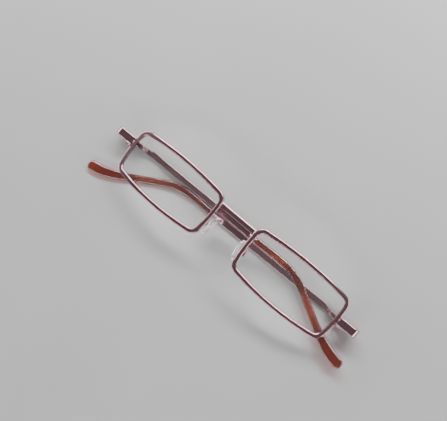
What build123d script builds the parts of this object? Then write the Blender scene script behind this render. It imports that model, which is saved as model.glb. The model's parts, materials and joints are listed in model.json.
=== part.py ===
from build123d import *
import os
from math import cos, radians, sin, tan

os.makedirs("parts", exist_ok=True)

# Slim metal reading glasses, folded, lying on the outer face of the right temple.
# +X runs from the left lens to the right lens, +Y is the top of the lenses, +Z the way they look.
# The origin is on the resting face, in the middle of the right temple's outer face.
# side is -1 for the left half (the inner temple) and +1 for the right half (the outer temple).
LEFT = -1
RIGHT = 1
SIDE_NAMES = {LEFT: "left", RIGHT: "right"}

# Lenses and rims
lens_width = 47.6
lens_gap = 20.4
lens_top = 12.0
lens_bottom = 11.3
top_corner = (23.4, 10.2)
bottom_corner = (22.7, 9.5)
side_reach = lens_width / 2
corner_radius = 3.6
wrap_angle = 6.0
base_radius = 130.0
rim_inner = 0.9
rim_outer = 1.05
rim_depth = 1.9
rim_edge = 0.5
bridge_edge = 0.3
bevel_front = 0.6
bevel_depth = 0.7
lens_front = 0.2
lens_thickness = 2.0
lens_back_radius = 190.0
lens_play = 0.02

# Hinges and temples, along s from the hinge pin, n outward and v up the lens
pin_x = 65.0
pin_radius = 0.5
pin_above_floor = 2.9
pin_y = 2.6
pin_y_skew = 0.74
set_angle = 0.8
inner_fold = 1.2
front_above_floor = 12.4
knuckle_radius = 1.3
knuckle_play = 0.05
middle_knuckle = 0.8
bar_rise = 0.35

# End pieces
lug_half_height = 1.8
lug_thickness = 1.5
lug_front = 4.9
lug_reach = 8.3
lug_corner = 2.2
lug_end = 0.25
lug_edge = 0.35
web_reach = 1.6
web_height = 2.4

# Rim locks
lock_gap = 0.1
lock_height = 0.8
lock_reach = 3.8
lock_screw_reach = 5.1
lock_screw_depth = 1.8
lock_edge = 0.2
lock_screw_radius = 0.4
lock_head_radius = 0.62
lock_head_height = 0.35

# Temple metal
neck_start = 0.25
neck_end = 14.0
neck_half_height = 1.0
neck_thickness = 0.8
step_length = 0.9
bar_half_height = 1.35
bar_thickness = 1.2
bar_end = 76.0
bar_edge = 0.25
core_radius = 0.55
core_overlap = 4.0
core_stations = 6

# Spring hinge
house_start = 2.15
house_end = 12.8
house_inner = 1.25
chamber_radius = 0.8
chamber_start = 3.35
chamber_end = 11.4
stem_radius = 0.4
stem_play = 0.05
stem_end = 9.8
collar_start = 8.9
collar_radius = 0.7
spring_radius = 0.6
spring_wire_radius = 0.12
spring_turns = 8
shoulder_half = 0.95
house_taper = 1.6
house_nose = 1.0
house_edge = 0.3

# Hinge screw
screw_head_radius = 0.9
screw_head_height = 0.5
slot_width = 0.25
slot_depth = 0.22

# Temple tips: (run length, turn in degrees, half height at the end of the run)
tip_half_height = 1.5
tip_thickness = 1.9
tip_runs = [
    (14.0, 0.0, 1.55),
    (6.3, -14.5, 1.65),
    (6.3, -14.5, 1.65),
    (11.6, 0.0, 1.7),
    (9.6, 0.0, 1.95),
    (7.0, 10.0, 2.3),
    (7.0, 10.0, 2.5),
]
tip_edge = 0.92
tip_middle = 1.95

# Bridge
bridge_y = 7.45
bridge_height = 2.3
bridge_depth = 1.5
bridge_rise = 0.7
bridge_front = 12.5

# Nose pads
pad_x = 8.4
pad_y = -3.4
pad_above_floor = 7.0
pad_splay = 30.0
pad_flare = 9.0
pad_length = 10.8
pad_width = 5.4
pad_thickness = 2.0
pad_edge = 0.7
insert_length = 6.0
insert_width = 2.8
insert_thickness = 0.5
pad_pivot = 2.0
tab_radius = 0.65
tab_half_width = 0.6
ear_thickness = 0.4
ear_radius = 0.85
ear_play = 0.05
pad_screw_radius = 0.3
pad_screw_head = 0.55
pad_screw_head_height = 0.3
arm_radius = 0.45
arm_root_x = 9.7
arm_root_y = 3.2
arm_solder = 0.7
arm_middle_x = 10.3
arm_middle_y = 0.4
arm_middle_above_floor = 8.9
ear_back = 1.3
ear_wall = 0.4

# Places worked out from the dimensions above
eye_spacing = lens_width + lens_gap
lens_y = pin_x * tan(radians(set_angle)) - bar_rise - pin_y + pin_y_skew
set_cos = cos(radians(set_angle))
set_sin = sin(radians(set_angle))


def eye_plane(side):
    """Plane on the front of one rim, at the lens centre, turned back by the face wrap."""
    turn = radians(wrap_angle)
    return Plane(
        origin=(side * eye_spacing / 2, lens_y, front_above_floor),
        x_dir=(cos(turn), 0, -side * sin(turn)),
        z_dir=(side * sin(turn), 0, cos(turn)),
    )


def lens_outline(side, grow):
    """Lens outline with bowed edges and round corners, grown by grow on every side."""
    top_x, top_y = top_corner[0] + grow, top_corner[1] + grow
    low_x, low_y = bottom_corner[0] + grow, bottom_corner[1] + grow
    reach = side_reach + grow
    with BuildSketch() as outline:
        with BuildLine():
            ThreePointArc((-side * top_x, top_y), (0, lens_top + grow), (side * top_x, top_y))
            ThreePointArc((side * top_x, top_y), (side * reach, 0), (side * low_x, -low_y))
            ThreePointArc((side * low_x, -low_y), (0, -lens_bottom - grow), (-side * low_x, -low_y))
            ThreePointArc((-side * low_x, -low_y), (-side * reach, 0), (-side * top_x, top_y))
        make_face()
        fillet(outline.vertices(), corner_radius + grow)
    return outline.sketch


def outline_prism(side, grow):
    """Long prism of the grown lens outline, through the eye plane."""
    with BuildPart() as prism:
        with BuildSketch(eye_plane(side).offset(-10)):
            add(lens_outline(side, grow))
        extrude(amount=20)
    return prism.part


def base_shell(side, front, depth):
    """Spherical shell of the lens's base curve, from front to front + depth behind it."""
    centre = eye_plane(side).offset(-base_radius).origin
    with BuildPart() as shell:
        with Locations(centre):
            Sphere(base_radius - front)
            Sphere(base_radius - front - depth, mode=Mode.SUBTRACT)
    return shell.part


def swing_plane(side):
    """Plane across the hinge pin: local X is s, along the folded temple, local Z is the pin's way up."""
    return Plane(
        origin=(side * pin_x, lens_y + pin_y - side * pin_y_skew, pin_above_floor),
        x_dir=(-side * set_cos, -side * set_sin, 0),
        z_dir=(-set_sin, set_cos, 0),
    )


def temple_plane(side):
    """The swing plane of the temple itself: the left temple is folded further in, over the right."""
    level = swing_plane(side)
    fold = radians(inner_fold) if side == LEFT else 0
    return Plane(
        origin=level.origin,
        x_dir=level.x_dir * cos(fold) - level.y_dir * sin(fold),
        z_dir=level.z_dir,
    )


def swing(side, s, n):
    """Local point of a swing plane from s along the folded temple and n outward."""
    return (s, -side * n)


def profile_plane(side, n):
    """Side view of the temple at depth n: local X is s and local Y is v times side."""
    flat = temple_plane(side)
    outward = flat.y_dir * -side
    return Plane(origin=flat.origin + outward * n, x_dir=flat.x_dir, z_dir=outward)


def write(piece, name):
    """Label a finished piece and write it to its own file."""
    piece.label = name
    export_step(piece, f"parts/{name}.step")


def edge_bevel(side, play):
    """The lens's thin edge, which sits in the rim's groove, grown by play."""
    with BuildPart() as bevel:
        add(outline_prism(side, play))
        add(base_shell(side, bevel_front - play, bevel_depth + 2 * play), mode=Mode.INTERSECT)
    return bevel.part


def swing_block(side, low, high, near, far):
    """Block between two heights on the hinge pin, with near and far as opposite (s, n) corners."""
    with BuildPart() as block:
        with BuildSketch(swing_plane(side).offset(low)):
            with BuildLine():
                Polyline(
                    swing(side, near[0], near[1]),
                    swing(side, far[0], near[1]),
                    swing(side, far[0], far[1]),
                    swing(side, near[0], far[1]),
                    close=True,
                )
            make_face()
        extrude(amount=high - low)
    return block.part


def on_inner_face(side, edge):
    """Whether an edge lies on the inner half of a hinge housing."""
    local = temple_plane(side).to_local_coords(edge.center())
    return -side * local.Y < 0


def on_bar_length(side, edge):
    """Whether an edge runs along the flat bar, between its two ends."""
    flat = temple_plane(side)
    reach = flat.to_local_coords(edge.center()).X
    along = abs(edge.tangent_at(0.5).dot(flat.y_dir)) < 0.5
    return along and neck_end < reach < bar_end


def rod(start, direction, length, radius):
    """Round rod or bore from a start point."""
    with BuildPart() as cylinder:
        with BuildSketch(Plane(origin=start, z_dir=direction)):
            Circle(radius)
        extrude(amount=length)
    return cylinder.part


def screw(start, direction, length, radius, head_radius, head_height):
    """Slotted screw: start is the end of its shaft, and its head is on the far end."""
    with BuildPart() as body:
        add(rod(start, direction, length, radius))
        head_start = Vector(start) + Vector(direction) * length
        add(rod(head_start, direction, head_height, head_radius))
        with BuildSketch(Plane(origin=head_start, z_dir=direction).offset(head_height - slot_depth)):
            Rectangle(3 * head_radius, slot_width)
        extrude(amount=slot_depth, mode=Mode.SUBTRACT)
    return body.part


def tip_stations(side):
    """Points along the temple tip in the side view: upper edge, middle and lower edge."""
    s, v, heading = bar_end, bar_rise, 0.0
    stations = []
    for length, turn, half_height in [(0.0, 0.0, tip_half_height)] + tip_runs:
        middle_heading = radians(heading + turn / 2)
        s += length * cos(middle_heading)
        v += length * sin(middle_heading)
        heading += turn
        rise_s = -half_height * sin(radians(heading))
        rise_v = half_height * cos(radians(heading))
        upper = (s + rise_s, side * (v + rise_v))
        lower = (s - rise_s, side * (v - rise_v))
        stations.append((upper, (s, side * v), lower))
    end_direction = (cos(radians(heading)), side * sin(radians(heading)))
    end_point = (s + half_height * end_direction[0], side * v + half_height * end_direction[1])
    return stations, end_point, end_direction


def core_wire(side, radius):
    """Round wire along the middle of the tip, starting inside the bar."""
    plane = profile_plane(side, tip_middle)
    middles = [middle for _, middle, _ in tip_stations(side)[0][:core_stations]]
    start = (bar_end - core_overlap, middles[0][1])
    end_slope = (middles[-1][1] - middles[-2][1]) / (middles[-1][0] - middles[-2][0])
    with BuildPart() as wire:
        with BuildLine() as path:
            Spline(
                [plane.from_local_coords(point) for point in [start] + middles],
                tangents=[plane.x_dir, plane.x_dir + plane.y_dir * end_slope],
            )
        with BuildSketch(Plane(origin=path.line @ 0, z_dir=path.line % 0)):
            Circle(radius)
        sweep()
    return wire.part


def pad_plane(side):
    """Plane in the middle of a nose pad: local X runs down the pad, local Z faces the nose."""
    flare = radians(pad_flare)
    splay = radians(pad_splay)
    down = Vector(side * sin(flare), -cos(flare), 0)
    facing = Vector(-side * cos(splay) * cos(flare), -cos(splay) * sin(flare), -sin(splay))
    return Plane(origin=(side * pad_x, lens_y + pad_y, pad_above_floor), x_dir=down, z_dir=facing)


def pad_pivot_plane(side):
    """Plane across a nose pad's screw: local X runs down the pad, local -Y points at the nose."""
    plane = pad_plane(side).offset(-pad_pivot)
    return Plane(origin=plane.origin, x_dir=plane.x_dir, z_dir=plane.y_dir)


# Rims: a slice of the base curve between two outlines, with a groove and a slot at the lock
for side, side_name in SIDE_NAMES.items():
    split_y = swing_plane(side).origin.Y - lug_half_height - lock_gap / 2
    with BuildPart() as rim:
        add(outline_prism(side, rim_outer))
        add(outline_prism(side, -rim_inner), mode=Mode.SUBTRACT)
        add(base_shell(side, 0, rim_depth), mode=Mode.INTERSECT)
        fillet(rim.edges(), rim_edge)
        add(edge_bevel(side, lens_play), mode=Mode.SUBTRACT)
        with Locations((side * pin_x, split_y, front_above_floor)):
            Box(2 * lug_reach, lock_gap, 20, mode=Mode.SUBTRACT)
    write(rim.part, f"{side_name}_rim")

# Lenses: a plus lens, thicker in the middle, with the bevel round its edge
for side, side_name in SIDE_NAMES.items():
    front_centre = eye_plane(side).offset(-base_radius).origin
    back_centre = eye_plane(side).offset(-lens_front - lens_thickness - lens_back_radius).origin
    with BuildPart() as lens:
        add(outline_prism(side, -rim_inner - lens_play))
        with Locations(front_centre):
            Sphere(base_radius - lens_front, mode=Mode.INTERSECT)
        with Locations(back_centre):
            Sphere(lens_back_radius, mode=Mode.SUBTRACT)
        add(edge_bevel(side, 0))
    write(lens.part, f"{side_name}_lens")

# Bridge: a flat bar, slightly arched forward, cut to the rims' outer edges
bridge_half_span = lens_gap / 2 + rim_outer
with BuildPart() as bridge:
    with BuildSketch(Plane.XZ.offset(bridge_height / 2 - lens_y - bridge_y)):
        with BuildLine():
            front_arc = ThreePointArc(
                (-bridge_half_span, bridge_front),
                (0, bridge_front + bridge_rise),
                (bridge_half_span, bridge_front),
            )
            back_arc = ThreePointArc(
                (-bridge_half_span, bridge_front - bridge_depth),
                (0, bridge_front - bridge_depth + bridge_rise),
                (bridge_half_span, bridge_front - bridge_depth),
            )
            Line(front_arc @ 0, back_arc @ 0)
            Line(front_arc @ 1, back_arc @ 1)
        make_face()
    extrude(amount=-bridge_height)
    chamfer(bridge.edges().filter_by(GeomType.CIRCLE), bridge_edge)
    for side in SIDE_NAMES:
        add(outline_prism(side, rim_outer), mode=Mode.SUBTRACT)
write(bridge.part, "bridge")

# End pieces: soldered to the rim, bent back to the hinge, with the two outer knuckles
lug_inside = pin_above_floor - lug_thickness
lug_back = lug_front - lug_thickness
lug_outline = [
    (-lug_reach, lug_front),
    (pin_above_floor, lug_front),
    (pin_above_floor, lug_end),
    (lug_inside, lug_end),
    (lug_inside, lug_back),
    (-lug_reach, lug_back),
]
knuckle_gap = middle_knuckle + knuckle_play
outer_knuckles = [(-lug_half_height, -knuckle_gap), (knuckle_gap, lug_half_height)]
for side, side_name in SIDE_NAMES.items():
    pin_plane = swing_plane(side)
    pin_foot = pin_plane.offset(-lug_half_height).origin
    lock_screw_point = swing(side, lock_screw_reach, lug_thickness / 2 - lug_front)
    with BuildPart() as end_piece:
        with BuildSketch(pin_plane.offset(-lug_half_height)) as lug:
            with BuildLine():
                Polyline([swing(side, -outward, -forward) for outward, forward in lug_outline], close=True)
            make_face()
            bend = lug.vertices().sort_by_distance(swing(side, -pin_above_floor, -lug_front))[0]
            fillet(bend, lug_corner)
        extrude(amount=2 * lug_half_height)
        flats = end_piece.faces().sort_by(Axis(pin_foot, pin_plane.z_dir))
        fillet(flats[0].edges() + flats[-1].edges(), lug_edge)
        for low, high in outer_knuckles:
            add(swing_block(side, low, high, (0, 0), (-web_reach, -web_height)))
            add(rod(pin_plane.offset(low).origin, pin_plane.z_dir, high - low, knuckle_radius))
        add(rod(pin_foot, pin_plane.z_dir, 2 * lug_half_height, pin_radius), mode=Mode.SUBTRACT)
        head_seat = pin_plane.offset(lug_half_height - screw_head_height).origin
        add(rod(head_seat, pin_plane.z_dir, screw_head_height, screw_head_radius), mode=Mode.SUBTRACT)
        with BuildSketch(pin_plane.offset(-lug_half_height)):
            with Locations(lock_screw_point):
                Circle(lock_screw_radius)
        extrude(amount=lock_screw_depth, mode=Mode.SUBTRACT)
        add(outline_prism(side, rim_outer), mode=Mode.SUBTRACT)
    write(end_piece.part, f"{side_name}_end_piece")

# Rim locks: the lower half of each closing block, screwed up into the end piece
lock_top = -lug_half_height - lock_gap
lock_bottom = lock_top - lock_height
for side, side_name in SIDE_NAMES.items():
    pin_plane = swing_plane(side)
    reach, depth = swing(side, lock_screw_reach, lug_thickness / 2 - lug_front)
    lock_screw_axis = pin_plane.x_dir * reach + pin_plane.y_dir * depth
    with BuildPart() as rim_lock:
        add(swing_block(side, lock_bottom, lock_top, (lug_reach, -lug_front), (lock_reach, -lug_back)))
        fillet(rim_lock.edges(), lock_edge)
        block_foot = pin_plane.offset(lock_bottom).origin + lock_screw_axis
        add(rod(block_foot, pin_plane.z_dir, lock_height, lock_screw_radius), mode=Mode.SUBTRACT)
        add(rod(block_foot, pin_plane.z_dir, lock_head_height, lock_head_radius), mode=Mode.SUBTRACT)
        add(outline_prism(side, rim_outer), mode=Mode.SUBTRACT)
    write(rim_lock.part, f"{side_name}_rim_lock")

    shaft_end = pin_plane.offset(lock_screw_depth - lug_half_height).origin + lock_screw_axis
    shaft_length = lock_screw_depth + lock_gap + lock_height - lock_head_height
    rim_screw = screw(
        shaft_end,
        -pin_plane.z_dir,
        shaft_length,
        lock_screw_radius,
        lock_head_radius,
        lock_head_height,
    )
    write(rim_screw, f"{side_name}_rim_screw")

# Hinge screws: threaded into the lower knuckle, head sunk in the upper one
for side, side_name in SIDE_NAMES.items():
    pin_plane = swing_plane(side)
    hinge_screw = screw(
        pin_plane.offset(-lug_half_height).origin,
        pin_plane.z_dir,
        2 * lug_half_height - screw_head_height,
        pin_radius,
        screw_head_radius,
        screw_head_height,
    )
    write(hinge_screw, f"{side_name}_hinge_screw")

# Hinge sliders: the middle knuckle, a shoulder that seats on the housing, and the stem
for side, side_name in SIDE_NAMES.items():
    plane = temple_plane(side)
    stem_start = plane.origin + plane.x_dir * (house_start - knuckle_play)
    with BuildPart() as slider:
        with BuildSketch(plane.offset(-middle_knuckle)):
            Circle(knuckle_radius)
            with Locations(((house_start - knuckle_play) / 2, 0)):
                Rectangle(house_start - knuckle_play, 2 * shoulder_half)
            Circle(pin_radius + stem_play, mode=Mode.SUBTRACT)
        extrude(amount=2 * middle_knuckle)
        add(rod(stem_start, plane.x_dir, stem_end - house_start + knuckle_play, stem_radius))
    write(slider.part, f"{side_name}_hinge_slider")

    with BuildPart() as stop:
        with BuildSketch(Plane(origin=plane.origin + plane.x_dir * collar_start, z_dir=plane.x_dir)):
            Circle(collar_radius)
            Circle(stem_radius, mode=Mode.SUBTRACT)
        extrude(amount=stem_end - collar_start)
    write(stop.part, f"{side_name}_spring_stop")

# Hinge springs: coiled round the stem, between the housing's front wall and the stop
spring_start = chamber_start + spring_wire_radius
spring_length = collar_start - spring_wire_radius - spring_start
for side, side_name in SIDE_NAMES.items():
    plane = temple_plane(side)
    with BuildPart() as spring:
        with BuildLine() as coil:
            Helix(
                pitch=spring_length / spring_turns,
                height=spring_length,
                radius=spring_radius,
                center=plane.origin + plane.x_dir * spring_start,
                direction=plane.x_dir,
            )
        with BuildSketch(Plane(origin=coil.line @ 0, z_dir=coil.line % 0)):
            Circle(spring_wire_radius)
        sweep(is_frenet=True)
    write(spring.part, f"{side_name}_hinge_spring")

# Hinge housings: the box behind the neck, with the stem's bore and the spring's chamber
for side, side_name in SIDE_NAMES.items():
    plane = temple_plane(side)
    neck_inside = pin_above_floor - neck_thickness
    with BuildPart() as housing:
        with BuildSketch(plane.offset(-neck_half_height)):
            with BuildLine():
                Polyline(
                    swing(side, house_start, -house_inner),
                    swing(side, house_end - house_taper, -house_inner),
                    swing(side, house_end, neck_inside - house_nose),
                    swing(side, house_end, neck_inside),
                    swing(side, house_start, neck_inside),
                    close=True,
                )
            make_face()
        extrude(amount=2 * neck_half_height)
        inner_edges = housing.edges().filter_by(lambda edge: on_inner_face(side, edge))
        fillet(inner_edges, house_edge)
        bore_start = plane.origin + plane.x_dir * house_start
        chamber_origin = plane.origin + plane.x_dir * chamber_start
        bore_length = chamber_start - house_start
        chamber_length = chamber_end - chamber_start
        add(rod(bore_start, plane.x_dir, bore_length, stem_radius + stem_play), mode=Mode.SUBTRACT)
        add(rod(chamber_origin, plane.x_dir, chamber_length, chamber_radius), mode=Mode.SUBTRACT)
    write(housing.part, f"{side_name}_hinge_housing")

# Temples: a thin neck over the housing, a step up to the flat bar, and the core wire
bar_low = bar_rise - bar_half_height
bar_high = bar_rise + bar_half_height
for side, side_name in SIDE_NAMES.items():
    with BuildPart() as temple:
        with BuildSketch(profile_plane(side, pin_above_floor - bar_thickness)):
            with BuildLine():
                Polyline(
                    (neck_end, side * bar_low),
                    (bar_end, side * bar_low),
                    (bar_end, side * bar_high),
                    (neck_end + step_length, side * bar_high),
                    (neck_end, side * neck_half_height),
                    close=True,
                )
            make_face()
        extrude(amount=bar_thickness)
        fillet(temple.edges().filter_by(lambda edge: on_bar_length(side, edge)), bar_edge)
        with BuildSketch(profile_plane(side, pin_above_floor - neck_thickness)):
            with BuildLine():
                Polyline(
                    (neck_start, -neck_half_height),
                    (neck_end, -neck_half_height),
                    (neck_end, neck_half_height),
                    (neck_start, neck_half_height),
                    close=True,
                )
            make_face()
        extrude(amount=neck_thickness)
        add(core_wire(side, core_radius))
    write(temple.part, f"{side_name}_temple")

# Temple tips: translucent plastic over the core wire, with a wide paddle end
for side, side_name in SIDE_NAMES.items():
    stations, end_point, end_direction = tip_stations(side)
    uppers = [upper for upper, _, _ in stations]
    lowers = [lower for _, _, lower in stations]
    with BuildPart() as tip:
        with BuildSketch(profile_plane(side, pin_above_floor - tip_thickness)):
            with BuildLine():
                Line(lowers[0], uppers[0])
                Spline(uppers, tangents=[(1, 0), end_direction])
                ThreePointArc(uppers[-1], end_point, lowers[-1])
                Spline(lowers, tangents=[(1, 0), end_direction])
            make_face()
        extrude(amount=tip_thickness)
        front_face = tip.faces().sort_by(Axis(temple_plane(side).origin, temple_plane(side).x_dir))[0]
        fillet(tip.edges().filter_by(lambda edge: edge not in front_face.edges()), tip_edge)
        add(core_wire(side, core_radius), mode=Mode.SUBTRACT)
    write(tip.part, f"{side_name}_temple_tip")

# Nose pads: soft pad over a stiff insert, whose tab sits between the ears of the pad arm
for side, side_name in SIDE_NAMES.items():
    plane = pad_plane(side)
    pivot = pad_pivot_plane(side)
    with BuildPart() as insert:
        with BuildSketch(plane.offset(-insert_thickness / 2)):
            Ellipse(insert_length / 2, insert_width / 2)
        extrude(amount=insert_thickness)
        with BuildSketch(pivot.offset(-tab_half_width)):
            Circle(tab_radius)
            with Locations((0, -pad_pivot / 2)):
                Rectangle(2 * tab_radius, pad_pivot)
        extrude(amount=2 * tab_half_width)
        bore_start = pivot.offset(-tab_half_width).origin
        bore_radius = pad_screw_radius + ear_play
        add(rod(bore_start, pivot.z_dir, 2 * tab_half_width, bore_radius), mode=Mode.SUBTRACT)
    write(insert.part, f"{side_name}_pad_insert")

    with BuildPart() as nose_pad:
        with BuildSketch(plane.offset(-pad_thickness / 2)):
            Ellipse(pad_length / 2, pad_width / 2)
        extrude(amount=pad_thickness)
        fillet(nose_pad.edges(), pad_edge)
        add(insert.part, mode=Mode.SUBTRACT)
    write(nose_pad.part, f"{side_name}_nose_pad")

# Pad arms: a bent wire soldered behind the rim, with two ears that hold the pad's tab
ear_outer = tab_half_width + ear_play + ear_thickness
for side, side_name in SIDE_NAMES.items():
    pivot = pad_pivot_plane(side)
    arm_root = (side * arm_root_x, lens_y + arm_root_y, bridge_front - rim_depth)
    arm_middle = (side * arm_middle_x, lens_y + arm_middle_y, arm_middle_above_floor)
    arm_foot = pivot.origin + pivot.y_dir * (ear_back - ear_wall / 2)
    with BuildPart() as pad_arm:
        with BuildLine() as path:
            Spline(arm_root, arm_middle, arm_foot, tangents=[(0, 0, -1), -pivot.y_dir])
        with BuildSketch(Plane(origin=path.line @ 0, z_dir=path.line % 0)):
            Circle(arm_radius)
        sweep()
        with Locations(arm_root):
            Sphere(arm_solder)
        add(base_shell(side, -rim_depth, 2 * rim_depth), mode=Mode.SUBTRACT)
        with BuildSketch(pivot.offset(-ear_outer)):
            Circle(ear_radius)
            with Locations((0, ear_back / 2)):
                Rectangle(2 * ear_radius, ear_back)
        extrude(amount=2 * ear_outer)
        with BuildSketch(pivot.offset(-tab_half_width - ear_play)):
            with Locations((0, (ear_back - ear_wall) / 2 - ear_radius)):
                Rectangle(3 * ear_radius, ear_back - ear_wall + 2 * ear_radius)
        extrude(amount=2 * (tab_half_width + ear_play), mode=Mode.SUBTRACT)
        screw_start = pivot.offset(side * -ear_outer).origin
        add(rod(screw_start, pivot.z_dir * side, 2 * ear_outer, pad_screw_radius), mode=Mode.SUBTRACT)
    write(pad_arm.part, f"{side_name}_pad_arm")

    pad_screw = screw(
        screw_start,
        pivot.z_dir * side,
        2 * ear_outer,
        pad_screw_radius,
        pad_screw_head,
        pad_screw_head_height,
    )
    write(pad_screw, f"{side_name}_pad_screw")
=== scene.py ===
import json
from math import copysign, cos, pi, radians, sin

import bpy
from mathutils import Matrix, Vector


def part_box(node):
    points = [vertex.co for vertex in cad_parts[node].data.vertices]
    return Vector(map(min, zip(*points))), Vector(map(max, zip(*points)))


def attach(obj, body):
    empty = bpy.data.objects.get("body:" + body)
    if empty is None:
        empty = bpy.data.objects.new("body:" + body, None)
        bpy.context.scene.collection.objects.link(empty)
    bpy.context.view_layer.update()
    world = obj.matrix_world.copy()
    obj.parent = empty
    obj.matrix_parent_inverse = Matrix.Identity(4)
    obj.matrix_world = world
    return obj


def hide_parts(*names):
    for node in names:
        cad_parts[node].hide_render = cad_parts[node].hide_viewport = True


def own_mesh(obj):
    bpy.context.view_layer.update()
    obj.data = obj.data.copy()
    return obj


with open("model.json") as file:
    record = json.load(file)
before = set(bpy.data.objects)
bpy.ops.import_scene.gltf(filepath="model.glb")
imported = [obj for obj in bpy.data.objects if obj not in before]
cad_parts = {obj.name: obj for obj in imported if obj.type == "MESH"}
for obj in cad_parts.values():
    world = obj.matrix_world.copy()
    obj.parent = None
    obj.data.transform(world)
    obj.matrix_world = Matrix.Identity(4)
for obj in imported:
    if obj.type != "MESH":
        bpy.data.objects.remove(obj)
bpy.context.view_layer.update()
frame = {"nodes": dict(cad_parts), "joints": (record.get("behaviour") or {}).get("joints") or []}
nodes = frame["nodes"]
MM = 0.001

# ---------------------------------------------------------------- materials


class Nodes:
    """A short way to write a node tree around one Principled shader."""

    def __init__(self, name):
        self.material = bpy.data.materials.new(name)
        self.material.use_nodes = True
        self.tree = self.material.node_tree
        self.tree.nodes.clear()
        self.output = self.add("ShaderNodeOutputMaterial")
        self.shader = self.add("ShaderNodeBsdfPrincipled")
        self.link(self.shader.outputs["BSDF"], self.output.inputs["Surface"])
        self.place = self.add("ShaderNodeTexCoord").outputs["Object"]

    def add(self, kind, **values):
        node = self.tree.nodes.new(kind)
        for key, value in values.items():
            setattr(node, key, value)
        return node

    def link(self, source, target):
        self.tree.links.new(source, target)

    def set(self, **values):
        for key, value in values.items():
            self.shader.inputs[key.replace("_", " ")].default_value = value

    def noise(self, scale, detail=3.0, rough=0.55):
        texture = self.add("ShaderNodeTexNoise")
        texture.inputs["Scale"].default_value = scale
        texture.inputs["Detail"].default_value = detail
        texture.inputs["Roughness"].default_value = rough
        self.link(self.place, texture.inputs["Vector"])
        return texture.outputs["Fac"]

    def ramp(self, factor, stops):
        ramp = self.add("ShaderNodeValToRGB")
        elements = ramp.color_ramp.elements
        while len(elements) < len(stops):
            elements.new(0.5)
        for element, (position, colour) in zip(elements, stops):
            element.position = position
            element.color = (*colour, 1.0) if len(colour) == 3 else colour
        self.link(factor, ramp.inputs["Fac"])
        return ramp.outputs["Color"]

    def spread(self, factor, low, high, start=0.3, stop=0.7):
        remap = self.add("ShaderNodeMapRange")
        limits = {"From Min": start, "From Max": stop, "To Min": low, "To Max": high}
        for key, value in limits.items():
            remap.inputs[key].default_value = value
        self.link(factor, remap.inputs["Value"])
        return remap.outputs["Result"]

    def feed(self, socket, value):
        if isinstance(value, bpy.types.NodeSocket):
            self.link(value, socket)
        elif isinstance(value, tuple) and len(value) == 3:
            socket.default_value = (*value, 1.0)
        else:
            socket.default_value = value

    def colour(self, value):
        self.feed(self.shader.inputs["Base Color"], value)

    def roughness(self, value):
        self.feed(self.shader.inputs["Roughness"], value)

    def bump(self, height, strength, distance):
        bump = self.add("ShaderNodeBump")
        bump.inputs["Strength"].default_value = strength
        bump.inputs["Distance"].default_value = distance
        self.link(height, bump.inputs["Height"])
        self.link(bump.outputs["Normal"], self.shader.inputs["Normal"])


def plated_metal(name, deep, pale, rough=(0.15, 0.22)):
    m = Nodes(name)
    m.set(Metallic=1.0)
    cloud = m.noise(34.0, 2.0)
    grain = m.noise(3600.0, 2.0)
    m.colour(m.ramp(cloud, [(0.3, deep), (0.7, pale)]))
    m.roughness(m.spread(grain, *rough))
    m.bump(grain, 0.03, 0.00001)
    return m.material


def clear_lens():
    """Clear plastic, with the real index on its coat only, so that it stays clear from the side."""
    m = Nodes("lens_glass")
    m.set(Transmission_Weight=1.0, IOR=1.08, Coat_Weight=1.0, Coat_IOR=1.5, Coat_Roughness=0.01)
    m.colour((0.97, 0.985, 0.98))
    smear = m.noise(160.0, 3.0)
    m.roughness(m.spread(smear, 0.0, 0.02, 0.55, 0.8))
    through_lamps(m, (0.94, 0.95, 0.95))
    return m.material


def through_lamps(m, tint):
    """Lamps shine through the piece, with a slight tint."""
    path = m.add("ShaderNodeLightPath")
    clear = m.add("ShaderNodeBsdfTransparent")
    clear.inputs["Color"].default_value = (*tint, 1.0)
    mix = m.add("ShaderNodeMixShader")
    m.link(path.outputs["Is Shadow Ray"], mix.inputs["Fac"])
    m.link(m.shader.outputs["BSDF"], mix.inputs[1])
    m.link(clear.outputs["BSDF"], mix.inputs[2])
    m.link(mix.outputs["Shader"], m.output.inputs["Surface"])


def tip_plastic():
    m = Nodes("tip_plastic")
    m.set(Transmission_Weight=0.7, IOR=1.49, Coat_Weight=1.0, Coat_Roughness=0.05, Coat_IOR=1.6)
    cloud = m.noise(70.0, 4.0)
    browns = [
        (0.25, (0.085, 0.013, 0.011)),
        (0.6, (0.16, 0.026, 0.017)),
        (0.85, (0.3, 0.09, 0.036)),
    ]
    m.colour(m.ramp(cloud, browns))
    haze = m.noise(900.0, 3.0)
    m.roughness(m.spread(haze, 0.1, 0.2))
    m.bump(haze, 0.08, 0.00003)
    through_lamps(m, (0.5, 0.2, 0.12))
    return m.material


def pad_plastic():
    m = Nodes("pad_insert_plastic")
    m.set(Transmission_Weight=0.6, IOR=1.49)
    cloud = m.noise(400.0, 3.0)
    m.colour(m.ramp(cloud, [(0.3, (0.8, 0.79, 0.76)), (0.7, (0.88, 0.87, 0.85))]))
    m.roughness(m.spread(cloud, 0.2, 0.35))
    through_lamps(m, (0.75, 0.75, 0.73))
    return m.material


def pad_silicone():
    m = Nodes("pad_silicone")
    m.set(Transmission_Weight=0.86, IOR=1.43, Coat_Weight=1.0, Coat_Roughness=0.06, Coat_IOR=1.8)
    cloud = m.noise(220.0, 3.0)
    m.colour(m.ramp(cloud, [(0.3, (0.5, 0.5, 0.49)), (0.7, (0.62, 0.62, 0.61))]))
    m.roughness(m.spread(cloud, 0.08, 0.2))
    m.bump(m.noise(2600.0, 2.0), 0.1, 0.00003)
    through_lamps(m, (0.62, 0.62, 0.62))
    return m.material


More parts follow.
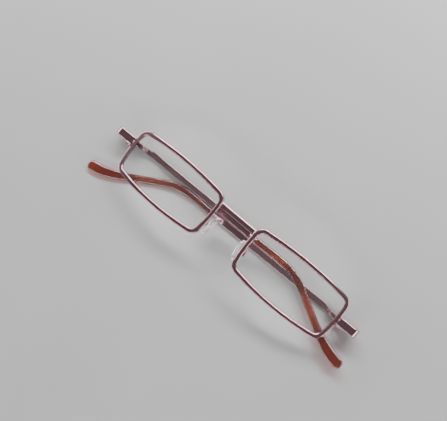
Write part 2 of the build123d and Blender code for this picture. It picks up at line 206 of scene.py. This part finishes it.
METAL = plated_metal("mauve_plating", (0.4, 0.235, 0.26), (0.48, 0.29, 0.315))
STEEL = plated_metal("screw_steel", (0.6, 0.57, 0.56), (0.8, 0.77, 0.76), (0.14, 0.3))
SOLDER = plated_metal("solder", (0.45, 0.3, 0.32), (0.56, 0.4, 0.41), (0.2, 0.3))
LENS = clear_lens()
TIP = tip_plastic()
PAD = pad_silicone()
INSERT = pad_plastic()
SIDES = {"left": -1, "right": 1}
FINISHES = {
    "rim": METAL,
    "lens": LENS,
    "end_piece": METAL,
    "rim_lock": METAL,
    "rim_screw": STEEL,
    "hinge_screw": STEEL,
    "hinge_slider": METAL,
    "spring_stop": STEEL,
    "hinge_spring": STEEL,
    "hinge_housing": METAL,
    "temple": METAL,
    "temple_tip": TIP,
    "pad_arm": METAL,
    "pad_screw": STEEL,
    "pad_insert": INSERT,
}


def finish_node(name, material):
    slots = nodes[name].data.materials
    slots.clear()
    slots.append(material)


for side_name in SIDES:
    for part, material in FINISHES.items():
        finish_node(f"{side_name}_{part}", material)
finish_node("bridge", METAL)

# ---------------------------------------------------------------- pieces


def piece(name, verts, faces, material, levels=1):
    """New smooth mesh piece, in metres."""
    mesh = bpy.data.meshes.new(name)
    mesh.from_pydata([tuple(v) for v in verts], [], faces)
    mesh.materials.append(material)
    mesh.shade_smooth()
    made = bpy.data.objects.new(name, mesh)
    bpy.context.scene.collection.objects.link(made)
    if levels:
        smooth = made.modifiers.new("smooth", "SUBSURF")
        smooth.levels = smooth.render_levels = levels
    return made


def rings_to_faces(count, around):
    """Quads between rings of points, with a fan's point before the first ring and after the last."""
    faces = []
    for ring in range(count - 1):
        for step in range(around):
            after = (step + 1) % around
            low, high = 1 + ring * around, 1 + (ring + 1) * around
            faces.append((low + step, low + after, high + after, high + step))
    last = 1 + count * around
    for step in range(around):
        after = (step + 1) % around
        faces.append((0, 1 + after, 1 + step))
        faces.append((last, last - around + step, last - around + after))
    return faces


PAD_SPLAY = radians(30.0)
PAD_FLARE = radians(9.0)
PAD_HALF_LENGTH = 5.4 * MM
PAD_HALF_WIDTH = 2.7 * MM
PAD_HALF_THICKNESS = 1.0 * MM
PAD_AROUND = 48
PAD_CROWN = 0.82
PAD_DISH = 0.5
PAD_SQUARENESS = 0.85
PAD_TAPER = 0.08
# Share of the outline and of the half thickness, from the crowned face round the lip to the dished back
PAD_PROFILE = [
    (0.30, 0.80), (0.55, 0.76), (0.74, 0.74), (0.86, 0.86), (0.94, 0.70), (0.995, 0.30),
    (1.0, -0.10), (0.97, -0.55), (0.89, -0.88), (0.78, -0.80), (0.66, -0.60), (0.35, -0.55),
]


def nose_pad(side_name, side):
    """Soft pad: a long drop, wider at the bottom, with a raised lip all round both faces."""
    low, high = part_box(f"{side_name}_nose_pad")
    centre = (low + high) / 2
    down = Vector((side * sin(PAD_FLARE), -cos(PAD_FLARE), 0))
    level = cos(PAD_SPLAY)
    facing = Vector((-side * level * cos(PAD_FLARE), -level * sin(PAD_FLARE), -sin(PAD_SPLAY)))
    across = facing.cross(down)
    verts = [centre + facing * PAD_HALF_THICKNESS * PAD_CROWN]
    for share, rise in PAD_PROFILE:
        for step in range(PAD_AROUND):
            turn = 2 * pi * step / PAD_AROUND
            along = copysign(abs(cos(turn)) ** PAD_SQUARENESS, cos(turn))
            wide = copysign(abs(sin(turn)) ** PAD_SQUARENESS, sin(turn))
            wide *= 1 - PAD_TAPER + PAD_TAPER * along
            verts.append(
                centre
                + down * along * share * PAD_HALF_LENGTH
                + across * wide * share * PAD_HALF_WIDTH
                + facing * rise * PAD_HALF_THICKNESS
            )
    verts.append(centre - facing * PAD_HALF_THICKNESS * PAD_DISH)
    made = piece(f"{side_name}_soft_pad", verts, rings_to_faces(len(PAD_PROFILE), PAD_AROUND), PAD)
    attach(made, f"{side_name}_pad")
    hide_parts(f"{side_name}_nose_pad")


COIL_RADIUS = 0.6 * MM
WIRE_RADIUS = 0.12 * MM
COIL_TURNS = 8
COIL_STEPS = 24
WIRE_AROUND = 8


def hinge_coil(side_name):
    """Coil spring on the slider's stem, clear of its stop. It rides with the temple arm."""
    joint = next(j for j in frame["joints"] if j["name"] == f"{side_name}_spring_slide")
    along = Vector(joint["axis"]).normalized()
    low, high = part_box(f"{side_name}_hinge_spring")
    centre = (low + high) / 2
    spring = nodes[f"{side_name}_hinge_spring"].data
    marks = [(v.co - centre).dot(along) for v in spring.vertices]
    start, stop = min(marks), max(marks)
    first = along.orthogonal().normalized()
    second = along.cross(first)
    run = stop - start - 2 * WIRE_RADIUS
    count = COIL_TURNS * COIL_STEPS + 1
    verts, middles = [], []
    for index in range(count):
        turn = 2 * pi * index / COIL_STEPS
        outward = first * cos(turn) + second * sin(turn)
        reach = start + WIRE_RADIUS + run * index / (count - 1)
        middle = centre + along * reach + outward * COIL_RADIUS
        middles.append(middle)
        for step in range(WIRE_AROUND):
            lean = 2 * pi * step / WIRE_AROUND
            verts.append(middle + (outward * cos(lean) + along * sin(lean)) * WIRE_RADIUS)
    verts = [middles[0], *verts, middles[-1]]
    made = piece(f"{side_name}_coil", verts, rings_to_faces(count, WIRE_AROUND), STEEL, levels=0)
    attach(made, f"{side_name}_temple_arm")
    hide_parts(f"{side_name}_hinge_spring")
    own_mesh(made)


BEAD_AROUND = 20
BEAD_RINGS = 7
BEAD_LUMPS = (0.06, 0.04)
END_BEAD_REACH = Vector((0.42, 1.15, 0.6)) * MM
END_BEAD_OUT = 0.2 * MM
END_BEAD_UP = 0.2 * MM
BRIDGE_BEAD_REACH = Vector((0.42, 1.1, 0.72)) * MM
BRIDGE_BEAD_IN = 0.2 * MM
BRIDGE_BEAD_UP = 0.95 * MM
END_DEPTH = 0.5 * MM


def bead(name, centre, reach):
    """Small uneven mound of solder."""
    verts = [centre + Vector((0, 0, reach.z))]
    for ring in range(BEAD_RINGS):
        lean = pi * (ring + 1) / (BEAD_RINGS + 1)
        for step in range(BEAD_AROUND):
            turn = 2 * pi * step / BEAD_AROUND
            lump = 1 + BEAD_LUMPS[0] * sin(3 * turn + lean) + BEAD_LUMPS[1] * sin(5 * turn)
            level = sin(lean) * lump
            away = (reach.x * level * cos(turn), reach.y * level * sin(turn), reach.z * cos(lean))
            verts.append(centre + Vector(away))
    verts.append(centre - Vector((0, 0, reach.z)))
    made = piece(name, verts, rings_to_faces(BEAD_RINGS, BEAD_AROUND), SOLDER)
    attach(made, "front")


def inner_end(node, side, depth):
    """Middle of the end of a node that is nearest the bridge's middle."""
    points = [nodes[node].matrix_world @ v.co for v in nodes[node].data.vertices]
    edge = min(side * p.x for p in points)
    near = [p for p in points if side * p.x < edge + depth]
    return sum(near, Vector()) / len(near)


for side_name, side in SIDES.items():
    nose_pad(side_name, side)
    hinge_coil(side_name)
    seam = inner_end(f"{side_name}_end_piece", side, END_DEPTH)
    seam += Vector((side * END_BEAD_OUT, 0, END_BEAD_UP))
    bead(f"{side_name}_end_piece_solder", seam, END_BEAD_REACH)
    low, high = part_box("bridge")
    edge = high.x if side > 0 else low.x
    joint = Vector((edge - side * BRIDGE_BEAD_IN, (low.y + high.y) / 2, low.z + BRIDGE_BEAD_UP))
    bead(f"{side_name}_bridge_solder", joint, BRIDGE_BEAD_REACH)

# ---------------------------------------------------------------- floor, light, camera


FLOOR_HALF = 1.2
FLOOR_DROP = 0.02 * MM
CAMERA_PLACE = (0.0450, 0.0258, 0.2981)
CAMERA_AIM = (-0.0080, 0.0043, 0.006)
CAMERA_UP = (-0.636, 0.770, 0.059)
CAMERA_LENS = 55.9


def floor():
    mesh = bpy.data.meshes.new("floor")
    corners = ((-1, -1), (1, -1), (1, 1), (-1, 1))
    verts = [(x * FLOOR_HALF, y * FLOOR_HALF, -FLOOR_DROP) for x, y in corners]
    mesh.from_pydata(verts, [], [(0, 1, 2, 3)])
    plane = bpy.data.objects.new("floor", mesh)
    bpy.context.scene.collection.objects.link(plane)
    m = Nodes("pale_floor")
    cloud = m.noise(6.0, 3.0)
    m.colour(m.ramp(cloud, [(0.3, (0.235, 0.234, 0.233)), (0.7, (0.255, 0.254, 0.252))]))
    m.roughness(0.55)
    m.bump(m.noise(900.0, 2.0), 0.03, 0.0001)
    mesh.materials.append(m.material)


def softbox(name, place, aim, size, power):
    lamp = bpy.data.lights.new(name, "AREA")
    lamp.shape = "RECTANGLE"
    lamp.size, lamp.size_y = size
    lamp.energy = power
    box = bpy.data.objects.new(name, lamp)
    box.location = place
    box.rotation_euler = (Vector(aim) - Vector(place)).to_track_quat("-Z", "Y").to_euler()
    bpy.context.scene.collection.objects.link(box)


def camera(place, aim, up, lens):
    data = bpy.data.cameras.new("camera")
    data.lens = lens
    data.sensor_width = 36.0
    data.clip_start, data.clip_end = 0.01, 10.0
    back = (Vector(place) - Vector(aim)).normalized()
    right = Vector(up).cross(back).normalized()
    holder = bpy.data.objects.new("camera", data)
    axes = Matrix((right, back.cross(right), back)).transposed()
    holder.matrix_world = Matrix.LocRotScale(Vector(place), axes.to_quaternion(), None)
    bpy.context.scene.collection.objects.link(holder)
    bpy.context.scene.camera = holder


floor()
softbox("key", (-0.10, 0.44, 0.36), (0, 0, 0), (0.90, 0.12), 13.0)
softbox("fill", (0.04, -0.44, 0.26), (0, 0, 0), (0.80, 0.10), 3.0)
softbox("left_side", (-0.50, 0.02, 0.17), (0, 0, 0), (0.60, 0.10), 2.5)
softbox("edge", (-0.08, 0.52, 0.05), (0, 0, 0.01), (0.60, 0.06), 1.6)
softbox("right_side", (0.50, 0.08, 0.17), (0, 0, 0), (0.60, 0.10), 2.5)
world = bpy.data.worlds.new("studio")
world.use_nodes = True
background = world.node_tree.nodes["Background"]
background.inputs["Color"].default_value = (0.6, 0.6, 0.61, 1.0)
background.inputs["Strength"].default_value = 0.3
bpy.context.scene.world = world
camera(CAMERA_PLACE, CAMERA_AIM, CAMERA_UP, CAMERA_LENS)
